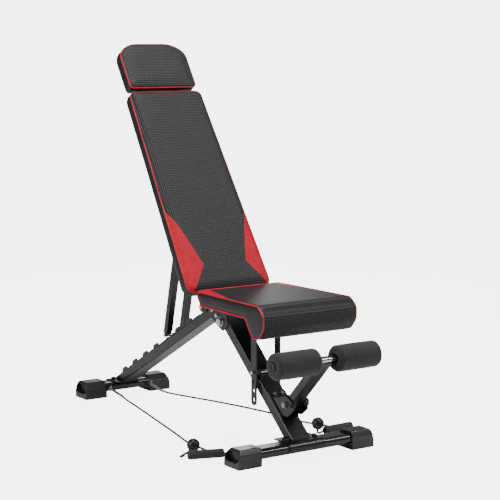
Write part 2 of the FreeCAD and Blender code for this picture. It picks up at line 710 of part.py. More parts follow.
bracket_ear = [leg_face(103, 0), leg_face(144, 0), leg_face(144, 4) + (3,), (-352, 150, 8), (-383, 160, 11),
               (-410, 151, 8), (-425, 129, 10), (-396, 106, 10)]
bracket_base = [leg_face(96, 0), leg_face(156, 0), leg_face(156, 3.5), leg_face(96, 3.5)]
ear_mid = size("arm_width") / 2 + 0.5 + size("arm_ear_plate") / 2
bracket_parts = [prism("roller_bracket_base", "YZ_Plane", bracket_base, "front_leg_inner")]
for side in (-1, 1):
    bracket_parts.append(prism("roller_bracket_ear", "YZ_Plane", bracket_ear, "arm_ear_plate",
                               (ARM_PIVOT + ("arm_bolt_diameter",),
                                (-412.0, 137.5, "seat_pin_diameter")), at=(side * ear_mid, 0, 0)))
node(join("roller_bracket", bracket_parts), "roller_bracket")
face_normal = (0, -math.sin(FRONT_TILT), math.cos(FRONT_TILT))
bracket_bolts = []
for z in (110, 148):
    for x in (-13, 13):
        bracket_bolts.append(hex_head("bracket_bolt", 10, 4, (x,) + leg_face(z, 3.5), face_normal))
node(join("roller_bracket_bolts", bracket_bolts), "roller_bracket_bolts")

bolt_out = ear_mid + size("arm_ear_plate") / 2
arm_bolt = doc.addObject("Part::Cylinder", "arm_bolt_shank")
bind(arm_bolt, "Radius", "@arm_bolt_diameter / 2")
arm_bolt.Height = 2 * bolt_out + 14
arm_bolt.Placement = Placement(Vector(-bolt_out, *ARM_PIVOT), Rotation(Vector(0, 1, 0), 90))
bolt_head = hex_head("arm_bolt_head", 16, 6, (-bolt_out, *ARM_PIVOT), (-1, 0, 0))
node(join("arm_pivot_bolt", [arm_bolt, bolt_head]), "arm_pivot_bolt")

arm_run = math.hypot(AXLE[0] - ARM_PIVOT[0], AXLE[1] - ARM_PIVOT[1])
arm_angle = math.degrees(math.atan2(AXLE[1] - ARM_PIVOT[1], AXLE[0] - ARM_PIVOT[0]))
arm_turn = Rotation(Vector(1, 0, 0), arm_angle)
half = size("arm_depth") / 2
arm_side = [(-half, -half, half - 0.1), (-half, half, half - 0.1), (arm_run - 1, half), (arm_run - 1, -half)]
arm_solid = prism("arm_solid", "YZ_Plane", arm_side, "arm_width", ((0, 0, "arm_bolt_hole"),),
                  at=(0, *ARM_PIVOT), turn=arm_turn)
arm_long = arm_turn.multVec(Vector(0, 1, 0))
arm_round = rounded("arm_round", arm_solid, 3.0, along(arm_long))
axle = pin("roller_axle", "@axle_diameter", "@axle_length", (0,) + AXLE)
node(cut("roller_arm", arm_round, axle), "roller_arm")
node(axle, "roller_axle")


def revolved(name, profile, centre, side):
    """Body turned about the X direction; profile is (x from centre, radius[, rounding])."""
    body = doc.addObject("PartDesign::Body", name)
    sketch = body.newObject("Sketcher::SketchObject", name + "_profile")
    sketch.AttachmentSupport = [(origin_plane(body, "XY_Plane"), "")]
    sketch.MapMode = "FlatFace"
    for edge in outline_edges(profile):
        sketch.addGeometry(edge, False)
    turn = body.newObject("PartDesign::Revolution", name + "_turn")
    turn.Profile = sketch
    turn.ReferenceAxis = (sketch, ["H_Axis"])
    turn.Angle = 360
    body.Placement = Placement(Vector(*centre), Rotation(Vector(0, 0, 1), 0 if side > 0 else 180))
    return body


rad = size("roller_diameter") / 2
bore = size("roller_bore") / 2
long = size("roller_length")
soft = size("roller_rounding")
for side, name in ((-1, "roller_foam_left"), (1, "roller_foam_right")):
    profile = [(0, bore), (0, rad, soft), (long, rad, soft), (long, 12.5, 1.5),
               (long - 5, 12.5), (long - 5, bore)]
    node(revolved(name, profile, (side * 30, *AXLE), side), name)
caps = []
cap_x = size("axle_length") / 2
for side in (-1, 1):
    axle_r = size("axle_diameter") / 2
    profile = [(-4.5, axle_r), (-4.5, 11.4), (2.5, 11.4, 1.2), (2.5, 7.2, 1),
               (0.5, 6.8), (0.5, 0), (0, 0), (0, axle_r)]
    caps.append(revolved("axle_cap", profile, (side * cap_x, *AXLE), side))
node(join("axle_end_caps", caps), "axle_end_caps")

# Knob on the free end of the arm's pivot bolt.
KNOB_X = bolt_out + 1.0
knob_hub = doc.addObject("Part::Cylinder", "knob_hub")
bind(knob_hub, "Radius", "@knob_hub_diameter / 2")
knob_hub.Height = 14
knob_hub.Placement = Placement(Vector(KNOB_X, *ARM_PIVOT), Rotation(Vector(0, 1, 0), 90))
lobes = []
for k in range(12):
    angle = math.radians(30 * k)
    r = size("knob_diameter") / 2 * (1.0 if k % 2 else 0.8)
    lobes.append((ARM_PIVOT[0] + r * math.cos(angle), ARM_PIVOT[1] + r * math.sin(angle), 1.8))
knob_grip = prism("knob_grip", "YZ_Plane", lobes, "knob_thickness", at=(KNOB_X + 17, 0, 0))
knob_bore = doc.addObject("Part::Cylinder", "knob_bore")
bind(knob_bore, "Radius", "@arm_bolt_hole / 2")
knob_bore.Height = 14.5
knob_bore.Placement = Placement(Vector(KNOB_X - 1, *ARM_PIVOT), Rotation(Vector(0, 1, 0), 90))
node(cut("arm_knob", join("knob_whole", [knob_hub, knob_grip]), knob_bore), "arm_knob")

# ------------------------------------------------------- ropes and handles

ROPE_R = size("rope_diameter") / 2
BALL_R = size("ball_diameter") / 2
GRIP_R = size("grip_diameter") / 2


def rope(name, route):
    """Round rope: straight runs joined by tangent arcs, as large as the runs allow."""
    points = [Vector(*p) for p in route]
    edges = []
    start = points[0]
    radii = []
    for i in range(1, len(points) - 1):
        before = points[i - 1] - points[i]
        after = points[i + 1] - points[i]
        turn = math.pi - before.getAngle(after)
        radius = 0.45 * min(before.Length, after.Length) / math.tan(turn / 2)
        first, middle, last = corner_arc(points[i - 1], points[i], points[i + 1], radius)
        if start.distanceToPoint(first) > 1e-6:
            edges.append(Part.LineSegment(start, first).toShape())
        edges.append(Part.Arc(first, middle, last).toShape())
        start = last
        radii.append(radius)
    edges.append(Part.LineSegment(start, points[-1]).toShape())
    path = Part.Wire(edges)
    tangent = (points[1] - points[0]).normalize()
    ring = Part.Wire(Part.Circle(points[0], tangent, ROPE_R).toShape())
    shape = path.makePipeShell([ring], True, True)
    expected = math.pi * ROPE_R ** 2 * path.Length
    print(name, "length %.1f" % path.Length, "volume ratio %.4f" % (shape.Volume / expected),
          "radii", ["%.0f" % r for r in radii])
    feature = doc.addObject("Part::Feature", name)
    feature.Shape = shape
    return node(feature, name)


FLOOR = ROPE_R + 0.3
ROUTES = {
    "rope_left": [(-45, 461, 8), (-47.5, 445, 5.2), (-53, 414, FLOOR), (-65, 356, FLOOR), (-86, 262, FLOOR),
                  (-113.5, 140, FLOOR), (-139, 30, FLOOR), (-155.5, -43, FLOOR), (-172, -101, 4.2),
                  (-187, -145, 7.6), (-200, -182, 12.6), (-206.4, -201.3, 15.5)],
    "rope_right": [(97, 454, 8), (101.5, 440, 5.2), (110.5, 412, FLOOR), (127.5, 360, FLOOR), (155, 274, FLOOR),
                   (184.5, 172, FLOOR), (207.5, 62, FLOOR), (219, -10, FLOOR), (222, -72, FLOOR),
                   (220.5, -125, 5.2), (218, -163, 9.4), (216.5, -196, 13.6)],
    "grip_cord_left_a": [(-224.2, -229.2, 12.4), (-237, -238, 8.6), (-254, -244, 5.4), (-269, -250.5, 4.2),
                         (-280, -260, 4.4), (-283.6, -272, 7.4), (-280.5, -280.3, 12.5)],
    "grip_cord_left_b": [(-202.5, -233.4, 13.4), (-195, -246, 8.6), (-185, -262, 5.2), (-174.5, -280, 4.2),
                         (-166.5, -298, 4.6), (-164, -311, 8.0), (-169.5, -320.6, 12.5)],
    "grip_cord_right_a": [(230.9, -218.7, 12.2), (244, -225, 7.6), (260, -232.5, 4.6), (277, -240, 4.0),
                          (292, -247, 4.6), (299.5, -258, 8.0), (294.9, -269.6, 12.0)],
    "grip_cord_right_b": [(205, -226.4, 13.2), (196, -237, 8.4), (186.5, -249, 5.2), (180, -261, 4.4),
                          (180.5, -271, 7.4), (190, -273.9, 12.0)],
}
for name, route in ROUTES.items():
    rope(name, route)

for name, centre in (("stop_ball_left", (-212, -218, BALL_R)), ("stop_ball_right", (215, -213, BALL_R))):
    ball = doc.addObject("Part::Sphere", name)
    bind(ball, "Radius", "@ball_diameter / 2")
    ball.Placement = Placement(Vector(*centre), Rotation())
    node(ball, name)

for name, start, end in (("grip_left", (-273, -283, GRIP_R), (-177, -318, GRIP_R)),
                         ("grip_right", (198, -274, GRIP_R), (287, -270, GRIP_R))):
    axis = Vector(*end) - Vector(*start)
    middle = (Vector(*end) + Vector(*start)) * 0.5
    grip = pin(name + "_core", "@grip_diameter", "@grip_length", middle, Rotation(Vector(0, 0, 1), axis))
    ends = [i for i, e in enumerate(grip.Shape.Edges, 1) if e.Curve.TypeId == "Part::GeomCircle"]
    fillet = doc.addObject("Part::Fillet", name)
    fillet.Base = grip
    fillet.Edges = [(i, 3.0, 3.0) for i in ends]
    node(fillet, name)

# Eye bolts in the rear tube and the carabiners between them and the ropes.
eyes = []
for side, shank in zip((-1, 1), eye_shanks):
    ring = doc.addObject("Part::Torus", "eye_ring")
    bind(ring, "Radius1", "@eye_ring")
    bind(ring, "Radius2", "@eye_wire / 2")
    centre = Vector(side * EYE_X, 490 - size("eye_ring"), EYE_Z)
    ring.Placement = Placement(centre, Rotation(Vector(0, 1, 0), 90))
    eyes.append(join("eye_bolt", [ring, shank]))
node(join("eye_bolts", eyes), "eye_bolts")


def carabiner(name, top, bottom):
    """Long oval ring of wire between two points, hooked through the eye."""
    top = Vector(*top)
    bottom = Vector(*bottom)
    run = (bottom - top).normalize()
    across = run.cross(Vector(0, 0, 1)).normalize()
    width = 6.5
    r = size("carabiner_wire") / 2
    a = top + run * width
    b = bottom - run * width
    edges = [Part.LineSegment(a + across * width, b + across * width).toShape(),
             Part.Arc(b + across * width, bottom, b - across * width).toShape(),
             Part.LineSegment(b - across * width, a - across * width).toShape(),
             Part.Arc(a - across * width, top, a + across * width).toShape()]
    wire = Part.Wire(edges)
    ring = Part.Wire(Part.Circle(a + across * width, run, r).toShape())
    feature = doc.addObject("Part::Feature", name)
    feature.Shape = wire.makePipeShell([ring], True, True)
    return node(feature, name)


carabiner("carabiner_left", (-71.5, 480.5, 28.5), (-42.6, 456.0, 5.5))
carabiner("carabiner_right", (72.5, 482.0, 28.5), (99.6, 451.5, 5.5))

# ---------------------------------------------------------------- checks

doc.recompute()
for obj in doc.Objects:
    if "Invalid" in obj.State or "Error" in obj.State:
        raise RuntimeError("failed object: " + obj.Name)
names = [name for name, _ in NODES]
if len(set(names)) != len(names) or len(names) > 60:
    raise RuntimeError("%d nodes" % len(names))
for name, obj in NODES:
    shape = obj.Shape
    if shape.isNull() or not shape.isValid() or not shape.Solids:
        raise RuntimeError("bad shape: " + name)

os.makedirs("parts", exist_ok=True)
for name, obj in NODES:
    obj.Shape.exportStep("parts/%s.step" % name)
print(len(NODES), "nodes written")
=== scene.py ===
import json
import math

import bmesh
import bpy
from mathutils import Matrix, Vector, kdtree, noise


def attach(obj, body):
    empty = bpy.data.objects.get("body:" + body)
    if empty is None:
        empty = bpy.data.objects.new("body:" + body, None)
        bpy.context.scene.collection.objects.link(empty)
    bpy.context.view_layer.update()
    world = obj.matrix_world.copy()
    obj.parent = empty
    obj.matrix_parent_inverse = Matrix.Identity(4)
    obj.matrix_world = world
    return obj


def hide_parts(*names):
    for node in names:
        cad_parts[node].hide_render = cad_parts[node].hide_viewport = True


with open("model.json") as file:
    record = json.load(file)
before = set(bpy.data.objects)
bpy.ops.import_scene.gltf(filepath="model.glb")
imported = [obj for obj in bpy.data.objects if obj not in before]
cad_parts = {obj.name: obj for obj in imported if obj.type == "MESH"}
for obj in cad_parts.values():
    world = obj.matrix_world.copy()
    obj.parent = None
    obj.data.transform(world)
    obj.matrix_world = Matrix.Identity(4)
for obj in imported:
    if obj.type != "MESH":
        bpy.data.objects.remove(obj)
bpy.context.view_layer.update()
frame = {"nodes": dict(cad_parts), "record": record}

NODES = frame["nodes"]


# ------------------------------------------------------------------ materials

def new_material(name):
    """A node material; returns it, its node tree and its surface shader."""
    mat = bpy.data.materials.new(name)
    mat.use_nodes = True
    tree = mat.node_tree
    return mat, tree, tree.nodes["Principled BSDF"]


def add(tree, kind, **values):
    """A node with some of its inputs and settings given by name."""
    made = tree.nodes.new(kind)
    for key, value in values.items():
        if key in made.inputs:
            made.inputs[key].default_value = value
        elif hasattr(made, key):
            setattr(made, key, value)
    return made


def link(tree, out, into):
    tree.links.new(out, into)


def math_node(tree, operation, first, second=None):
    made = tree.nodes.new("ShaderNodeMath")
    made.operation = operation
    for index, value in enumerate((first, second)):
        if value is None:
            continue
        if isinstance(value, (int, float)):
            made.inputs[index].default_value = value
        else:
            link(tree, value, made.inputs[index])
    return made.outputs[0]


def position(tree, turn=0.0, origin=(0, 0, 0)):
    """Object coordinates, moved to an origin and turned about X by -turn degrees."""
    coords = tree.nodes.new("ShaderNodeTexCoord")
    shift = add(tree, "ShaderNodeVectorMath", operation="SUBTRACT")
    link(tree, coords.outputs["Object"], shift.inputs[0])
    shift.inputs[1].default_value = origin
    spin = add(tree, "ShaderNodeVectorRotate", rotation_type="X_AXIS")
    link(tree, shift.outputs[0], spin.inputs["Vector"])
    spin.inputs["Angle"].default_value = -math.radians(turn)
    return spin.outputs[0]


def bump(tree, shader, height, strength, distance):
    made = add(tree, "ShaderNodeBump", Strength=strength, Distance=distance)
    link(tree, height, made.inputs["Height"])
    link(tree, made.outputs[0], shader.inputs["Normal"])


# The Mix node's colour sockets by number, because its float and vector sockets share their names.
MIX_COLOR_A = 6
MIX_COLOR_B = 7
MIX_COLOR_RESULT = 2


def ramp(tree, value, low, high, first, second):
    """Colour ramp between two colours over a range of a value."""
    made = add(tree, "ShaderNodeMapRange", clamp=True)
    made.inputs["From Min"].default_value = low
    made.inputs["From Max"].default_value = high
    link(tree, value, made.inputs["Value"])
    mix = tree.nodes.new("ShaderNodeMix")
    mix.data_type = "RGBA"
    link(tree, made.outputs[0], mix.inputs["Factor"])
    set_or_link(tree, mix.inputs[MIX_COLOR_A], first)
    set_or_link(tree, mix.inputs[MIX_COLOR_B], second)
    return mix.outputs[MIX_COLOR_RESULT]


def set_or_link(tree, socket, value):
    """Gives a colour socket a plain colour or another node's output."""
    if isinstance(value, tuple):
        socket.default_value = value if len(value) == 4 else value + (1.0,)
    else:
        link(tree, value, socket)


def noise_node(tree, vector, scale, detail=3.0, roughness=0.5):
    made = add(tree, "ShaderNodeTexNoise", Scale=scale, Detail=detail, Roughness=roughness)
    link(tree, vector, made.inputs["Vector"])
    return made.outputs[0]


def coated(name, color, roughness, grain=900.0, grain_depth=0.00006, coat=0.0, wear=0.02):
    """Painted or moulded surface: slight colour change, uneven gloss, fine orange peel."""
    mat, tree, shader = new_material(name)
    where = position(tree)
    broad = noise_node(tree, where, 9.0, 4.0)
    light = tuple(min(1.0, c * 1.35 + wear * 0.3) for c in color)
    link(tree, ramp(tree, broad, 0.35, 0.75, tuple(color), light), shader.inputs["Base Color"])
    gloss = add(tree, "ShaderNodeMapRange")
    gloss.inputs["To Min"].default_value = roughness * 0.85
    gloss.inputs["To Max"].default_value = min(1.0, roughness * 1.2)
    link(tree, noise_node(tree, where, 35.0, 5.0), gloss.inputs["Value"])
    link(tree, gloss.outputs[0], shader.inputs["Roughness"])
    shader.inputs["Coat Weight"].default_value = coat
    shader.inputs["Coat Roughness"].default_value = 0.12
    bump(tree, shader, noise_node(tree, where, grain, 2.0), 0.5, grain_depth)
    return mat


def metal(name, color, roughness):
    """Plated metal with a fine uneven gloss and broader smudges."""
    mat, tree, shader = new_material(name)
    where = position(tree)
    fine = noise_node(tree, where, 260.0, 3.0)
    gloss = add(tree, "ShaderNodeMapRange")
    gloss.inputs["To Min"].default_value = roughness * 0.6
    gloss.inputs["To Max"].default_value = roughness * 1.5
    link(tree, fine, gloss.inputs["Value"])
    link(tree, gloss.outputs[0], shader.inputs["Roughness"])
    dark = tuple(c * 0.82 for c in color)
    link(tree, ramp(tree, noise_node(tree, where, 22.0, 4.0), 0.3, 0.7, dark, tuple(color)),
         shader.inputs["Base Color"])
    shader.inputs["Metallic"].default_value = 1.0
    bump(tree, shader, fine, 0.25, 0.00003)
    return mat


def foam(name, color, pore=420.0, roughness=0.75, depth=0.00035):
    """Closed-cell foam: fine pores, soft mottling."""
    mat, tree, shader = new_material(name)
    where = position(tree)
    cells = add(tree, "ShaderNodeTexVoronoi", Scale=pore)
    link(tree, where, cells.inputs["Vector"])
    mottled = noise_node(tree, where, 30.0, 5.0)
    light = tuple(c * 1.5 + 0.004 for c in color)
    link(tree, ramp(tree, mottled, 0.3, 0.75, tuple(color), light), shader.inputs["Base Color"])
    shader.inputs["Roughness"].default_value = roughness
    shader.inputs["Sheen Weight"].default_value = 0.25
    shader.inputs["Sheen Roughness"].default_value = 0.5
    bump(tree, shader, cells.outputs["Distance"], 0.6, depth)
    return mat


def grain_height(tree, where, scale):
    """Leather grain: small cells with soft creases between them."""
    cells = add(tree, "ShaderNodeTexVoronoi", Scale=scale, feature="SMOOTH_F1")
    link(tree, where, cells.inputs["Vector"])
    fine = noise_node(tree, where, scale * 2.4, 3.0)
    return math_node(tree, "ADD", cells.outputs["Distance"], math_node(tree, "MULTIPLY", fine, 0.4))


def leather(name, color, roughness, scale=520.0):
    """Smooth leatherette with a fine grain."""
    mat, tree, shader = new_material(name)
    where = position(tree)
    light = tuple(min(1.0, c * 1.25 + 0.003) for c in color)
    link(tree, ramp(tree, noise_node(tree, where, 14.0, 4.0), 0.35, 0.7, tuple(color), light),
         shader.inputs["Base Color"])
    shader.inputs["Roughness"].default_value = roughness
    shader.inputs["Specular IOR Level"].default_value = 0.5
    bump(tree, shader, grain_height(tree, where, scale), 0.35, 0.00025)
    return mat


BLACK = (0.012, 0.012, 0.013)
RED = (0.64, 0.0, 0.020)


def below(tree, value, edge, soft=0.0006):
    """1 where value is under edge, 0 above it, with a narrow soft step."""
    made = add(tree, "ShaderNodeMapRange", clamp=True)
    made.inputs["From Min"].default_value = edge - soft
    made.inputs["From Max"].default_value = edge + soft
    made.inputs["To Min"].default_value = 1.0
    made.inputs["To Max"].default_value = 0.0
    link(tree, value, made.inputs["Value"])
    return made.outputs[0]


def weave_height(tree, across, up, period):
    """Diagonal basket weave from two crossed families of ribs."""
    first = math_node(tree, "MULTIPLY", math_node(tree, "ADD", across, up), 2 * math.pi / period)
    second = math_node(tree, "MULTIPLY", math_node(tree, "SUBTRACT", across, up), 2 * math.pi / period)
    return math_node(tree, "MULTIPLY", math_node(tree, "SINE", first), math_node(tree, "SINE", second))


WEAVE_PERIOD = 0.0108
COVER_ROUGHNESS = 0.45
COVER_GRAIN = 520.0


def upholstery(name, turn, origin, wing, weave_zone, wrap=0.0):
    """Black covering with a diagonal weave and red wings.

    wing gives the red mask and weave_zone the strength of the weave. With wrap at 1
    the weave carries on round a rolled edge, where up turns into front."""
    mat, tree, shader = new_material(name)
    where = position(tree, turn, origin)
    parts = add(tree, "ShaderNodeSeparateXYZ")
    link(tree, where, parts.inputs[0])
    x, up, front = parts.outputs
    side = math_node(tree, "ABSOLUTE", x)
    run = math_node(tree, "SUBTRACT", up, math_node(tree, "MULTIPLY", front, wrap))
    weave = weave_height(tree, x, run, WEAVE_PERIOD)
    zone = weave_zone(tree, side, up, front)
    weave = math_node(tree, "MULTIPLY", weave, zone)
    red = wing(tree, side, up, front)
    plain = ramp(tree, noise_node(tree, where, 14.0, 4.0), 0.35, 0.7, (0.007, 0.007, 0.008),
                 (0.011, 0.011, 0.012))
    woven = ramp(tree, weave, -0.1, 0.3, plain, (0.070, 0.070, 0.072))
    reddish = ramp(tree, noise_node(tree, where, 18.0, 4.0), 0.35, 0.75, RED, (0.72, 0.0, 0.026))
    link(tree, ramp(tree, red, 0.0, 1.0, woven, reddish), shader.inputs["Base Color"])
    shader.inputs["Roughness"].default_value = COVER_ROUGHNESS
    shader.inputs["Specular IOR Level"].default_value = 0.3
    height = math_node(tree, "ADD", math_node(tree, "MULTIPLY", weave, 0.9),
                       math_node(tree, "MULTIPLY", grain_height(tree, where, COVER_GRAIN), 0.35))
    bump(tree, shader, height, 0.7, 0.0006)
    return mat


def back_wing(tree, side, up, front):
    """Red wings at the lower corners of the backrest."""
    # The inner edge comes in from the side to its tip and goes out again to the
    # bottom corner; above the tip it is slightly hollow.
    tip_side = 0.0716
    tip_up = 0.100
    above = math_node(tree, "MULTIPLY", math_node(tree, "SUBTRACT", up, tip_up), 0.352)
    under = math_node(tree, "MULTIPLY", math_node(tree, "SUBTRACT", tip_up, up), 0.70)
    upper = math_node(tree, "ADD", tip_side, above)
    lower = math_node(tree, "ADD", tip_side, under)
    bend = math_node(tree, "SUBTRACT", up, 0.195)
    bend = math_node(tree, "SUBTRACT", 0.0, math_node(tree, "MULTIPLY", bend, bend))
    curve = math_node(tree, "MULTIPLY", math_node(tree, "ADD", bend, 0.009), -0.9)
    hollow = math_node(tree, "ADD", upper, math_node(tree, "MULTIPLY", curve, 0.4))
    inner = math_node(tree, "MAXIMUM", hollow, lower)
    return below(tree, math_node(tree, "SUBTRACT", inner, side), 0.0)


def back_weave(tree, side, up, front):
    """Weave on the front face only, up to a hem along the tapering sides."""
    face = below(tree, math_node(tree, "MULTIPLY", front, -1.0), -0.0004, 0.0006)
    edge = math_node(tree, "SUBTRACT", side, math_node(tree, "MULTIPLY", up, -0.0275))
    return math_node(tree, "MULTIPLY", face, below(tree, edge, 0.143))


def no_wing(tree, side, up, front):
    """No red at all: side is never this small."""
    return below(tree, side, -1.0)


def seat_wing(tree, side, up, front):
    """Red crescents at the rear corners of the seat: up is Y here, front is Z."""
    # Edge from 95 mm off the middle at the rear to the side 163 mm further on.
    run = math_node(tree, "SUBTRACT", -0.120, up)
    part = math_node(tree, "MAXIMUM", math_node(tree, "MULTIPLY", run, 6.13), 0.0)
    curve = math_node(tree, "POWER", part, 0.75)
    edge = math_node(tree, "ADD", 0.095, math_node(tree, "MULTIPLY", curve, 0.047))
    inside = below(tree, math_node(tree, "SUBTRACT", edge, side), 0.0)
    top = below(tree, math_node(tree, "MULTIPLY", front, -1.0), -0.416, 0.001)
    return math_node(tree, "MULTIPLY", inside, top)


def seat_weave(tree, side, up, front):
    """Weave that is strong on the front roll and faint on the top."""
    roll = below(tree, up, -0.437, 0.0015)
    return math_node(tree, "ADD", math_node(tree, "MULTIPLY", roll, 0.7), 0.22)


LEAN = 57.5
BACK_AT = (0, -0.0984, 0.392)
PAINT = coated("frame_black", (0.006, 0.006, 0.0065), 0.32, coat=0.35, wear=0.006)
GLOSS = coated("tube_gloss_black", (0.008, 0.008, 0.009), 0.22, coat=0.6)
FOOT = coated("foot_plastic", (0.016, 0.016, 0.017), 0.28, grain=1400.0, grain_depth=0.00005, coat=0.3)
PLUG = coated("plug_plastic", (0.010, 0.010, 0.011), 0.30, grain=700.0)
CHROME = metal("bright_chrome", (0.80, 0.80, 0.82), 0.12)
ZINC = metal("zinc_plate", (0.34, 0.34, 0.35), 0.30)
BOARD = coated("board_black", (0.020, 0.018, 0.016), 0.65, grain=120.0, grain_depth=0.0003)
FOAM = foam("roller_foam", (0.009, 0.009, 0.0095))
GRIP = foam("grip_foam", (0.020, 0.020, 0.022), 700.0)
ROPE = coated("rope_rubber", (0.014, 0.014, 0.015), 0.38, grain=1500.0, coat=0.1)
SIDE = leather("side_leather", BLACK, 0.40)
RED_PIPE = leather("red_piping", (0.58, 0.0, 0.022), 0.34, 900.0)
BLACK_PIPE = leather("black_piping", (0.010, 0.010, 0.011), 0.35, 900.0)
BACK_COVER = upholstery("back_cover", LEAN, BACK_AT, back_wing, back_weave)
HEAD_COVER = upholstery("head_cover", LEAN, BACK_AT, no_wing, back_weave)
SEAT_COVER = upholstery("seat_cover", 0.0, (0, 0, 0), seat_wing, seat_weave, 1.0)

BY_SLOT = {
    "frame_paint": PAINT, "gloss_paint": GLOSS, "chrome": CHROME, "zinc": ZINC, "foot_plastic": FOOT,
    "plug_plastic": PLUG, "board": BOARD, "foam": FOAM, "rope_rubber": ROPE, "grip_foam": GRIP,
    "pad_leather": SIDE,
}
for part in frame["record"]["subparts"]:
    carried = NODES[part["node"]]
    carried.data.materials.clear()
    carried.data.materials.append(BY_SLOT[part["material_slot"]])


# -------------------------------------------------------------------- helpers

def mesh_object(name, verts, faces, materials, face_slots=None, smooth=True):
    mesh = bpy.data.meshes.new(name)
    mesh.from_pydata([tuple(v) for v in verts], [], faces)
    for material in materials:
        mesh.materials.append(material)
    if face_slots:
        for polygon, slot in zip(mesh.polygons, face_slots):
            polygon.material_index = slot
    for polygon in mesh.polygons:
        polygon.use_smooth = smooth
    mesh.validate()
    obj = bpy.data.objects.new(name, mesh)
    bpy.context.scene.collection.objects.link(obj)
    return obj


def subdivide(obj):
    made = obj.modifiers.new("smooth", "SUBSURF")
    made.levels = 1
    made.render_levels = 1


def tube(name, points, radius, material, cyclic=False, resolution=3):
    """Round bead along points on a smooth line."""
    curve = bpy.data.curves.new(name, "CURVE")
    curve.dimensions = "3D"
    curve.bevel_depth = radius
    curve.bevel_resolution = 4
    curve.resolution_u = resolution
    curve.use_fill_caps = True
    spline = curve.splines.new("NURBS")
    spline.points.add(len(points) - 1)
    for point, at in zip(spline.points, points):
        point.co = (*at, 1.0)
    spline.order_u = 3
    spline.use_endpoint_u = not cyclic
    spline.use_cyclic_u = cyclic
    curve.materials.append(material)
    obj = bpy.data.objects.new(name, curve)
    bpy.context.scene.collection.objects.link(obj)
    return obj


def rounded_outline(corners, steps=7):
    """Closed loop of points; each corner is (a, b, radius) and gives steps + 1 of them."""
    loop = []
    count = len(corners)
    for i, (a, b, radius) in enumerate(corners):
        here = Vector((a, b))
        before = Vector(corners[i - 1][:2])
        after = Vector(corners[(i + 1) % count][:2])
        u = (before - here).normalized()
        v = (after - here).normalized()
        half = u.angle(v) / 2
        centre = here + (u + v).normalized() * (radius / math.sin(half))
        start = here + u * (radius / math.tan(half))
        end = here + v * (radius / math.tan(half))
        first = start - centre
        sweep = first.angle_signed(end - centre)
        for k in range(steps + 1):
            turned = first.copy()
            turned.rotate(Matrix.Rotation(-sweep * k / steps, 2))
            loop.append(centre + turned)
    return loop


def eased(part):
    """0 to 1 with the steps drawn together at both ends."""
    return 0.5 * part + 0.5 * (0.5 - 0.5 * math.cos(math.pi * part))


def resample(points, count, closed=False, ease=False):
    """Points along a line, even or drawn together at its ends."""
    line = list(points) + ([points[0]] if closed else [])
    lengths = [0.0]
    for a, b in zip(line, line[1:]):
        lengths.append(lengths[-1] + (b - a).length)
    total = lengths[-1]
    result = []
    spots = count if closed else count - 1
    j = 0
    for k in range(count):
        target = total * (eased(k / spots) if ease else k / spots)
        while j < len(line) - 2 and lengths[j + 1] < target:
            j += 1
        part = (target - lengths[j]) / max(1e-12, lengths[j + 1] - lengths[j])
        result.append(line[j].lerp(line[j + 1], part))
    return result


# ---------------------------------------------------------------------- ropes

ROPE_DIAMETER = 0.006


def cord_curve(name, route):
    """Rope along its route, which is in millimetres in the bench's frame."""
    obj = tube(name, [tuple(c / 1000 for c in p) for p in route], ROPE_DIAMETER / 2, ROPE, resolution=8)
    obj.data.bevel_resolution = 6
    return obj


# Height of a rope's middle where it lies on the floor.
FLOOR = 3.3
ROPES = {
    "rope_left": [(-45, 461, 8), (-47.5, 445, 5.2), (-53, 414, FLOOR), (-65, 356, FLOOR), (-86, 262, FLOOR),
                  (-113.5, 140, FLOOR), (-139, 30, FLOOR), (-155.5, -43, FLOOR), (-172, -101, 4.2),
                  (-187, -145, 7.6), (-200, -182, 12.6), (-206.4, -201.3, 15.5)],
    "rope_right": [(97, 454, 8), (101.5, 440, 5.2), (110.5, 412, FLOOR), (127.5, 360, FLOOR), (155, 274, FLOOR),
                   (184.5, 172, FLOOR), (207.5, 62, FLOOR), (219, -10, FLOOR), (222, -72, FLOOR),
                   (220.5, -125, 5.2), (218, -163, 9.4), (216.5, -196, 13.6)],
    "grip_cord_left_a": [(-224.2, -229.2, 12.4), (-237, -238, 8.6), (-254, -244, 5.4), (-269, -250.5, 4.2),
                         (-280, -260, 4.4), (-283.6, -272, 7.4), (-280.5, -280.3, 12.5)],
    "grip_cord_left_b": [(-202.5, -233.4, 13.4), (-195, -246, 8.6), (-185, -262, 5.2), (-174.5, -280, 4.2),
                         (-166.5, -298, 4.6), (-164, -311, 8.0), (-169.5, -320.6, 12.5)],
    "grip_cord_right_a": [(230.9, -218.7, 12.2), (244, -225, 7.6), (260, -232.5, 4.6), (277, -240, 4.0),
                          (292, -247, 4.6), (299.5, -258, 8.0), (294.9, -269.6, 12.0)],
    "grip_cord_right_b": [(205, -226.4, 13.2), (196, -237, 8.4), (186.5, -249, 5.2), (180, -261, 4.4),
                          (180.5, -271, 7.4), (190, -273.9, 12.0)],
}
for name, route in ROPES.items():
    piece = cord_curve("look_" + name, route)
    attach(piece, "frame")
    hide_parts(name)


# --------------------------------------------------------------- flat cushions

def back_point(across, up, front):
    """Point of the backrest's own frame in the bench's frame, metres."""
    lean = math.radians(LEAN)
    y = BACK_AT[1] + up * math.cos(lean) - front * math.sin(lean)
    z = BACK_AT[2] + up * math.sin(lean) + front * math.cos(lean)
    return Vector((across, y, z))


CORNER_STEPS = 8


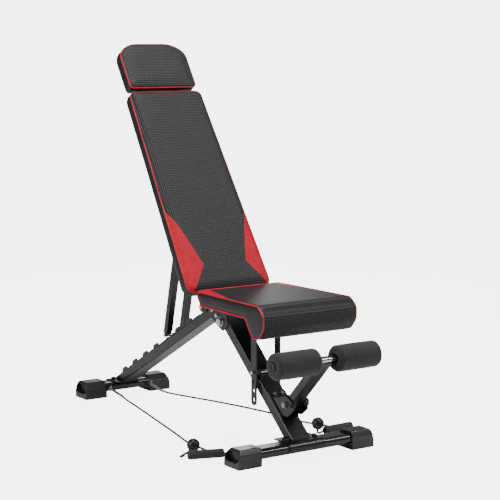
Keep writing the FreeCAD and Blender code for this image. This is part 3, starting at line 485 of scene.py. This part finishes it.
def side_curves(corners, across_count, up_count):
    """The outline cut in the middle of its corners into bottom, right, top and left lines.

    The first three corners and the last are the cuts, so the top may have more corners."""
    loop = rounded_outline(corners, CORNER_STEPS)
    cuts = [i * (CORNER_STEPS + 1) + CORNER_STEPS // 2 for i in (0, 1, 2, len(corners) - 1)]
    lines = []
    for i in range(4):
        a = cuts[i]
        b = cuts[(i + 1) % 4]
        span = loop[a:b + 1] if b > a else loop[a:] + loop[:b + 1]
        lines.append(span)
    counts = (across_count, up_count, across_count, up_count)
    return [resample(line, n, ease=True) for line, n in zip(lines, counts)]


def patch(corners, across_count, up_count):
    """Grid of 2-D points that fills a rounded outline."""
    bottom, right, top, left = side_curves(corners, across_count, up_count)
    top = top[::-1]
    left = left[::-1]
    grid = []
    for j in range(up_count):
        t = eased(j / (up_count - 1))
        row = []
        for i in range(across_count):
            s = eased(i / (across_count - 1))
            point = bottom[i] * (1 - t) + top[i] * t + left[j] * (1 - s) + right[j] * s
            point -= (bottom[0] * (1 - s) * (1 - t) + bottom[-1] * s * (1 - t)
                      + top[0] * (1 - s) * t + top[-1] * s * t)
            row.append(point)
        grid.append(row)
    return grid


def boundary(across_count, up_count):
    """Indices (i, j) round a grid, counter-clockwise."""
    ring = [(i, 0) for i in range(across_count - 1)]
    ring += [(across_count - 1, j) for j in range(up_count - 1)]
    ring += [(i, up_count - 1) for i in range(across_count - 1, 0, -1)]
    ring += [(0, j) for j in range(up_count - 1, 0, -1)]
    return ring


def swell(obj, pinned, pressure, frames, cap):
    """Puffs a closed form with cloth under pressure, then keeps each point near where it was."""
    rest = [v.co.copy() for v in obj.data.vertices]
    group = obj.vertex_groups.new(name="pin")
    group.add(pinned, 1.0, "REPLACE")
    cloth = obj.modifiers.new("cloth", "CLOTH")
    cloth.settings.quality = 5
    cloth.settings.mass = 0.3
    cloth.settings.tension_stiffness = 25
    cloth.settings.compression_stiffness = 25
    cloth.settings.bending_stiffness = 2.0
    cloth.settings.use_pressure = True
    cloth.settings.uniform_pressure_force = pressure
    cloth.settings.vertex_group_mass = "pin"
    cloth.settings.effector_weights.gravity = 0
    cloth.collision_settings.use_collision = False
    scene = bpy.context.scene
    for step in range(1, frames + 1):
        scene.frame_set(step)
    baked = obj.evaluated_get(bpy.context.evaluated_depsgraph_get())
    moved = [v.co.copy() for v in baked.data.vertices]
    obj.modifiers.remove(cloth)
    obj.vertex_groups.clear()
    for vertex, before, after in zip(obj.data.vertices, rest, moved):
        shift = after - before
        if shift.length > cap:
            shift *= cap / shift.length
        vertex.co = before + shift
    scene.frame_set(1)


EDGE_RADIUS = 0.014


def bull_nose(gap):
    """Rise of a rounded edge, 0 at the edge and 1 a radius further in."""
    part = min(1.0, max(0.0, gap / EDGE_RADIUS))
    return math.sqrt(1 - (1 - part) ** 2)


PAD_DEPTH = 0.036


def cushion(name, corners, crown, cover, counts, piping_front):
    """Upholstered pad on the backrest: crowned face, side band, back.

    piping_front is how far in front of the pad's edge its piping stands."""
    across_count, up_count = counts
    grid = patch(corners, across_count, up_count)
    low = min(p[1] for row in grid for p in row)
    high = max(p[1] for row in grid for p in row)
    middle = Vector((0.0, (low + high) / 2))
    edge_points = resample(rounded_outline(corners, 12), 3000, closed=True)
    edge = kdtree.KDTree(len(edge_points))
    for index, p in enumerate(edge_points):
        edge.insert((p[0], p[1], 0.0), index)
    edge.balance()
    verts = []
    faces = []
    slots = []
    front = {}
    for j, row in enumerate(grid):
        for i, p in enumerate(row):
            at_edge = i in (0, across_count - 1) or j in (0, up_count - 1)
            gap = 0.0 if at_edge else edge.find((p[0], p[1], 0.0))[2]
            rise = crown * bull_nose(gap)
            rise += 0.0004 * noise.noise(Vector((p[0] * 9, p[1] * 9, 3.0)))
            front[(i, j)] = len(verts)
            verts.append(back_point(p[0], p[1], rise))
    for j in range(up_count - 1):
        for i in range(across_count - 1):
            faces.append((front[(i, j)], front[(i + 1, j)], front[(i + 1, j + 1)], front[(i, j + 1)]))
            slots.append(0)
    ring = boundary(across_count, up_count)
    # The side band bulges a little between its seams: (front, growth) of each ring.
    bands = [(-0.0015, 0.9985), (-0.006, 1.0015), (-0.014, 1.004), (-0.024, 1.004), (-PAD_DEPTH + 0.006, 1.001),
             (-PAD_DEPTH + 0.001, 0.992)]
    previous = [front[key] for key in ring]
    for depth, grow in bands:
        current = []
        for i, j in ring:
            p = grid[j][i]
            out = (p - middle).normalized() * ((grow - 1) * 0.6)
            current.append(len(verts))
            verts.append(back_point(p[0] + out[0], p[1] + out[1], depth))
        for k in range(len(ring)):
            n = (k + 1) % len(ring)
            faces.append((previous[k], current[k], current[n], previous[n]))
            slots.append(1)
        previous = current
    rear = {}
    on_edge = set(ring)
    for j, row in enumerate(grid):
        for i, p in enumerate(row):
            if (i, j) in on_edge:
                continue
            rear[(i, j)] = len(verts)
            q = middle + (p - middle) * 0.985
            verts.append(back_point(q[0], q[1], -PAD_DEPTH))
    for key, index in zip(ring, previous):
        rear[key] = index
    for j in range(up_count - 1):
        for i in range(across_count - 1):
            faces.append((rear[(i, j)], rear[(i, j + 1)], rear[(i + 1, j + 1)], rear[(i + 1, j)]))
            slots.append(1)
    obj = mesh_object(name, verts, faces, [cover, SIDE], slots)
    pinned = [front[key] for key in ring] + list(rear.values())
    swell(obj, pinned, 2.2, 10, 0.003)
    subdivide(obj)
    outline = [back_point(grid[j][i][0], grid[j][i][1], piping_front) for i, j in ring]
    return obj, outline


def dress(obj, body, replaced):
    """Says what a padded piece rides on and stands for."""
    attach(obj, body)
    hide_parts(replaced)


def bead(name, points, radius, material, body, cyclic=True):
    """Piping or a seam on a pad."""
    made = tube(name, [tuple(p) for p in points], radius, material, cyclic=cyclic)
    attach(made, body)
    return made


PIPING = 0.0021
BACK_OUTLINE = [(-0.1405, 0.025, 0.022), (0.1405, 0.025, 0.022), (0.1222, 0.673, 0.022),
                (-0.1222, 0.673, 0.022)]
HEAD_OUTLINE = [(-0.1135, 0.6857, 0.014), (0.1135, 0.6857, 0.014), (0.1130, 0.8078, 0.041),
                (0.0717, 0.8360, 0.086), (-0.0717, 0.8360, 0.086), (-0.1130, 0.8078, 0.041)]
back_pad, back_ring = cushion("look_back_pad", BACK_OUTLINE, 0.0108, BACK_COVER, (52, 104), -0.0018)
dress(back_pad, "backrest", "back_pad")
bead("back_piping", back_ring, PIPING, RED_PIPE, "backrest")
head_pad, head_ring = cushion("look_head_pad", HEAD_OUTLINE, 0.0095, HEAD_COVER, (48, 36), 0.0014)
dress(head_pad, "backrest", "head_pad")
bead("head_piping", head_ring, PIPING, RED_PIPE, "backrest")


# ------------------------------------------------------------------- the seat

SEAT_CROWN = 0.0045
SEAT_HALF_REAR = 0.140
SEAT_HALF_FRONT = 0.152


def seat_half(y):
    """Half width of the seat at a Y."""
    return SEAT_HALF_REAR + (SEAT_HALF_FRONT - SEAT_HALF_REAR) * min(1.0, max(0.0, (-0.115 - y) / 0.355))


# Side outline of the seat, (y, z, radius), with its roll at the front.
SEAT_PROFILE = [(-0.122, 0.4205, 0.009), (-0.148, 0.392, 0.006), (-0.161, 0.386, 0.003),
                (-0.376, 0.386, 0.012), (-0.411, 0.337, 0.014), (-0.440, 0.338, 0.014),
                (-0.463, 0.367, 0.018), (-0.463, 0.400, 0.020), (-0.438, 0.4205, 0.022)]


def seat_cushion(name):
    """Upholstered seat, its side seams and a function for lines across it."""
    profile = resample(rounded_outline(SEAT_PROFILE), 150, closed=True)
    count = len(profile)
    normals = []
    for k in range(count):
        along = profile[(k + 1) % count] - profile[k - 1]
        normals.append(Vector((along[1], -along[0])).normalized())
    centre = sum(profile, Vector((0, 0))) / count
    outward = sum(1 if (profile[k] - centre).dot(normals[k]) > 0 else -1 for k in range(count))
    if outward < 0:
        normals = [-n for n in normals]
    stations = [0.0, 0.004, 0.012, 0.024, 0.038, 0.055, 0.09, 0.14, 0.2, 0.27, 0.35, 0.44, 0.5]
    stations += [1 - s for s in stations[-2::-1]]
    verts = []
    faces = []
    slots = []
    rows = []
    for s in stations:
        row = []
        for k, p in enumerate(profile):
            half = seat_half(p[0])
            x = -half + 2 * half * s
            gap = half - abs(x)
            under = 1.0 if p[1] > 0.393 or p[0] < -0.385 else 0.0
            rise = SEAT_CROWN * bull_nose(gap) * under
            q = p + normals[k] * rise
            row.append(len(verts))
            verts.append(Vector((x, q[0], q[1])))
        rows.append(row)
    for a, b in zip(rows, rows[1:]):
        for k, p in enumerate(profile):
            n = (k + 1) % count
            faces.append((a[k], a[n], b[n], b[k]))
            underside = p[1] < 0.388 and p[0] > -0.372
            slots.append(1 if underside else 0)
    for row, side in ((rows[0], -1), (rows[-1], 1)):
        inner = row
        for inset, bulge in ((0.004, 0.0022), (0.011, 0.0030)):
            ring = []
            for k, p in enumerate(profile):
                q = p - normals[k] * inset
                ring.append(len(verts))
                verts.append(Vector((side * (seat_half(q[0]) + bulge), q[0], q[1])))
            for k in range(count):
                n = (k + 1) % count
                face = (inner[k], inner[n], ring[n], ring[k])
                faces.append(face if side < 0 else face[::-1])
                slots.append(1)
            inner = ring
        faces.append(tuple(inner) if side < 0 else tuple(inner[::-1]))
        slots.append(1)
    obj = mesh_object(name, verts, faces, [SEAT_COVER, SIDE], slots)
    work = bmesh.new()
    work.from_mesh(obj.data)
    bmesh.ops.triangulate(work, faces=[f for f in work.faces if len(f.verts) > 4])
    bmesh.ops.recalc_face_normals(work, faces=work.faces)
    work.to_mesh(obj.data)
    work.free()

    def proud_point(row, k, proud):
        """Point of a row raised off the cover."""
        return verts[row[k]] + Vector((0, *normals[k])) * proud

    rings = [[proud_point(row, k, 0.0016) for k in range(count)] for row in (rows[0], rows[-1])]

    def across(y, z, proud=0.0):
        """Line over the cushion through its profile's point nearest (y, z), standing proud of it."""
        k = min(range(count), key=lambda n: (profile[n] - Vector((y, z))).length)
        return [proud_point(row, k, proud) for row in rows]

    return obj, rings, across


seat_pad, seat_rings, seat_across = seat_cushion("look_seat_pad")
subdivide(seat_pad)
dress(seat_pad, "seat", "seat_pad")
for side, ring, outward in zip(("left", "right"), seat_rings, (-0.0003, 0.0003)):
    bead("seat_piping_" + side, [p + Vector((outward, 0, 0)) for p in ring], PIPING, RED_PIPE, "seat")
bead("seat_rear_piping", seat_across(-0.1350, 0.4205, 0.0012), 0.0023, RED_PIPE, "seat", cyclic=False)
bead("seat_front_seam", seat_across(-0.4510, 0.4140), 0.0012, BLACK_PIPE, "seat", cyclic=False)


# ---------------------------------------------------------- rollers and grips

def lathe(name, profile, centre, axis, material, segments=56, wobble=0.0):
    """Turned form: profile is (along, radius) and the form stands on centre along axis."""
    axis = Vector(axis).normalized()
    turn = axis.to_track_quat("Z", "Y").to_matrix()
    verts = []
    faces = []
    for along, radius in profile:
        for k in range(segments):
            angle = 2 * math.pi * k / segments
            r = radius
            if wobble and radius > 0.004:
                r += wobble * noise.noise(Vector((math.cos(angle) * 2.2, math.sin(angle) * 2.2, along * 26)))
            local = Vector((r * math.cos(angle), r * math.sin(angle), along))
            verts.append(Vector(centre) + turn @ local)
    rows = len(profile)
    for row in range(rows):
        after = (row + 1) % rows
        for k in range(segments):
            n = (k + 1) % segments
            faces.append((row * segments + k, row * segments + n, after * segments + n, after * segments + k))
    obj = mesh_object(name, verts, faces, [material])
    work = bmesh.new()
    work.from_mesh(obj.data)
    bmesh.ops.recalc_face_normals(work, faces=work.faces)
    work.to_mesh(obj.data)
    work.free()
    return obj


AXLE = (-0.528, 0.2796)
ROLLER_INNER_FACE = 0.030
ROLLER_LENGTH = 0.138
ROLLER_RADIUS = 0.036
ROLLER_BORE = 0.00858
ROLLER_SOFT_EDGE = 0.012
GRIP_RADIUS = 0.0124


def roller_profile():
    """Foam roller: full middle, soft ends, a sunk outer face."""
    length = ROLLER_LENGTH
    radius = ROLLER_RADIUS
    bore = ROLLER_BORE
    soft = ROLLER_SOFT_EDGE
    points = [(0.0, bore), (0.0, radius * 0.55), (0.0012, radius - soft)]
    for k in range(1, 8):
        a = math.pi / 2 * k / 8
        points.append((soft * (1 - math.cos(a)), radius - soft + soft * math.sin(a)))
    for k in range(9):
        part = k / 8
        along = soft + (length - 2 * soft) * part
        points.append((along, radius - 0.0007 + 0.0007 * math.sin(math.pi * part)))
    for k in range(1, 9):
        a = math.pi / 2 * k / 8
        points.append((length - soft + soft * math.sin(a), radius - soft + soft * math.cos(a)))
    recess = [(0.0, 0.0145), (0.0010, 0.0128), (0.0030, 0.0125), (0.0048, 0.0123), (0.0050, 0.0110),
              (0.0050, bore)]
    points += [(length - depth, across) for depth, across in recess]
    return points


for side, name in ((-1, "left"), (1, "right")):
    inner_end = (side * ROLLER_INNER_FACE, *AXLE)
    piece = lathe("look_roller_" + name, roller_profile(), inner_end, (side, 0, 0), FOAM, 72, 0.0007)
    subdivide(piece)
    dress(piece, "roller_" + name, "roller_foam_" + name)

for name, start, end in (("left", (-0.273, -0.283, 0.0125), (-0.177, -0.318, 0.0125)),
                         ("right", (0.198, -0.274, 0.0125), (0.287, -0.270, 0.0125))):
    start = Vector(start)
    end = Vector(end)
    axis = (end - start).normalized()
    foot = (start + end) / 2 - axis * 0.050
    r = GRIP_RADIUS
    profile = [(0.0, 0.0032), (0.0, 0.0085), (0.0006, r - 0.0028), (0.0018, r - 0.0010), (0.0040, r - 0.0002),
               (0.012, r), (0.03, r - 0.0003), (0.05, r), (0.07, r - 0.0003), (0.088, r), (0.096, r - 0.0002),
               (0.0982, r - 0.0010), (0.0994, r - 0.0028), (0.1, 0.0085), (0.1, 0.0032)]
    piece = lathe("look_grip_" + name, profile, foot, axis, GRIP, 40, 0.0003)
    subdivide(piece)
    dress(piece, "frame", "grip_" + name)


# ------------------------------------------------------------ floor and light

# The floor and the surroundings look brighter to the camera than the light they give.
floor_mat, floor_tree, floor_shader = new_material("studio_floor")
floor_shader.inputs["Base Color"].default_value = (0.90, 0.90, 0.90, 1)
floor_shader.inputs["Roughness"].default_value = 0.9
seen = floor_tree.nodes.new("ShaderNodeLightPath")
glow = math_node(floor_tree, "MULTIPLY", seen.outputs["Is Camera Ray"], 5.0)
floor_shader.inputs["Emission Color"].default_value = (1, 1, 1, 1)
link(floor_tree, glow, floor_shader.inputs["Emission Strength"])
floor_corners = [(-9, -9, 0), (9, -9, 0), (9, 9, 0), (-9, 9, 0)]
floor = mesh_object("studio_floor", floor_corners, [(0, 1, 2, 3)], [floor_mat], smooth=False)

world = bpy.data.worlds.new("studio")
bpy.context.scene.world = world
world.use_nodes = True
backdrop = world.node_tree.nodes["Background"]
backdrop.inputs["Color"].default_value = (1, 1, 1, 1)
seen = world.node_tree.nodes.new("ShaderNodeLightPath")
shown = math_node(world.node_tree, "MULTIPLY", seen.outputs["Is Camera Ray"], 5.2)
strength = math_node(world.node_tree, "ADD", shown, 0.15)
link(world.node_tree, strength, backdrop.inputs["Strength"])


def area_light(name, at, target, width, height, power):
    """Rectangular light that faces its target."""
    data = bpy.data.lights.new(name, "AREA")
    data.shape = "RECTANGLE"
    data.size = width
    data.size_y = height
    data.energy = power
    obj = bpy.data.objects.new(name, data)
    obj.location = at
    obj.rotation_euler = (Vector(target) - Vector(at)).to_track_quat("-Z", "Y").to_euler()
    bpy.context.scene.collection.objects.link(obj)


area_light("key", (-3.4, 0.2, 1.9), (0, 0, 0.5), 1.5, 1.5, 62)
area_light("fill", (0.8, -3.6, 2.4), (0, 0, 0.5), 1.2, 1.2, 22)
area_light("top", (0.0, -0.4, 3.2), (0, 0, 0.4), 2.0, 2.0, 60)
area_light("strip", (2.1, -1.9, 2.5), (0, -0.35, 0.15), 2.2, 0.18, 30)
area_light("back", (1.7, 2.9, 1.5), (0, -0.2, 0.5), 1.0, 0.8, 14)

camera_data = bpy.data.cameras.new("camera")
camera_data.lens = 113.3
camera_data.sensor_width = 36
camera = bpy.data.objects.new("camera", camera_data)
camera.location = (-2.452, -3.742, 1.091)
camera.rotation_euler = (math.radians(82.64), 0, math.radians(-34.555))
bpy.context.scene.collection.objects.link(camera)
bpy.context.scene.camera = camera
